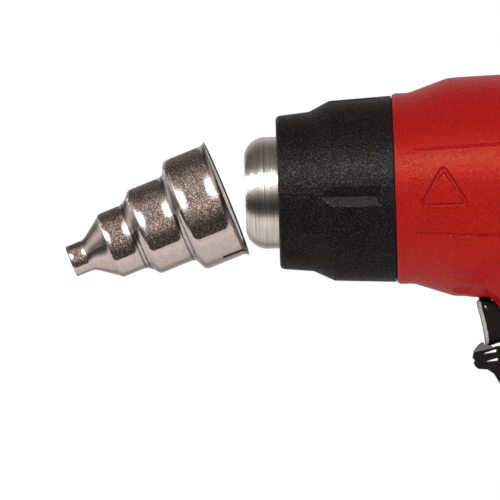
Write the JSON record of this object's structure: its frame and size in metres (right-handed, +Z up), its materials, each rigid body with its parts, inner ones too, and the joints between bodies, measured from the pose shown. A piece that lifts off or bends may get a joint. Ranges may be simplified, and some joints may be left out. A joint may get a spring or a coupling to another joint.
{
  "type": "heat gun",
  "caption": "Pistol-grip heat gun with a steel barrel, bayonet guard, black grille cap, rocker trigger and a detached stepped reducer nozzle.",
  "frame": {"origin": "on the barrel's axis, 10 mm behind the barrel's tip, in the plane of the guard's front face", "axes": "+X runs back along the barrel from the tip to the rear cap, +Z is up and away from the handle, +Y is the gun's right side"},
  "size_m": [0.2545, 0.069, 0.1973],
  "materials": {
    "nozzle_steel": "rough-rolled sheet steel, warm grey and mottled",
    "barrel_steel": "brushed round the barrel",
    "plated_steel": "zinc plated",
    "gasket": "matt fibre and rubber",
    "mica": "mica sheet",
    "ceramic": "fired ceramic",
    "heating_wire": "oxidised resistance wire",
    "black_plastic": "finely textured black",
    "red_plastic": "finely textured red",
    "soft_grip": "soft black elastomer",
    "inner_plastic": "glass-filled nylon",
    "trigger_plastic": "satin black",
    "magnet": "sintered ferrite",
    "laminations": "varnished steel laminations and copper",
    "copper": "turned copper",
    "bronze": "sintered bronze",
    "brush_holder": "phenolic",
    "board": "circuit board with parts",
    "white_plastic": "moulded nylon"
  },
  "bodies": {
    "gun": {"barrel_tube": "barrel_steel", "flange_ring": "plated_steel", "flange_gasket": "gasket", "flange_screws": "plated_steel", "insulation_sleeve": "mica", "heater_core": "ceramic", "heating_coil": "heating_wire", "heater_base": "ceramic", "thermal_cutout": "plated_steel", "bayonet_collar": "inner_plastic", "housing_left": "red_plastic", "housing_right": "red_plastic", "housing_screws": "plated_steel", "rear_cap": "black_plastic", "intake_screen": "plated_steel", "air_duct": "inner_plastic", "motor_can": "plated_steel", "motor_magnets": "magnet", "motor_end_cap": "brush_holder", "shaft_bushes": "bronze", "motor_bracket": "plated_steel", "rectifier_board": "board", "terminal_block": "white_plastic", "trigger_pin": "plated_steel", "switch_body": "inner_plastic", "front_grip": "soft_grip", "rear_grip": "soft_grip", "cord_gland": "soft_grip", "cord_clamp": "inner_plastic", "clamp_screws": "plated_steel"},
    "nozzle": {"reducer_nozzle": "nozzle_steel"},
    "guard": {"guard_sleeve": "black_plastic"},
    "rotor": {"fan_impeller": "inner_plastic", "armature": "laminations", "commutator": "copper", "motor_shaft": "plated_steel"},
    "trigger": {"trigger": "trigger_plastic"},
    "plunger": {"switch_plunger": "white_plastic"}
  },
  "joints": [
    {"name": "nozzle_fit", "type": "hinge", "parent": "gun", "child": "nozzle", "pos_m": [-0.00397, 0, -0.0457], "axis": [-0.0081, 0.9948, 0.1018], "range_deg": [-60, 20.41]},
    {"name": "guard_twist", "type": "hinge", "parent": "gun", "child": "guard", "pos_m": [0.02, 0, 0], "axis": [-1, 0, 0], "range_deg": [0, 30]},
    {"name": "fan_spin", "type": "hinge", "parent": "gun", "child": "rotor", "pos_m": [0.142, 0, 0], "axis": [1, 0, 0], "continuous": true},
    {"name": "trigger_pull", "type": "hinge", "parent": "gun", "child": "trigger", "pos_m": [0.0612, 0, -0.0364], "axis": [0, -1, 0], "range_deg": [0, 12]},
    {"name": "plunger_travel", "type": "slide", "parent": "gun", "child": "plunger", "axis": [1, 0, 0], "range_m": [0, 0.0019]}
  ],
  "couplings": [
    {"joint": "plunger_travel", "follows": "trigger_pull", "m_per_rad": 0.0088}
  ]
}
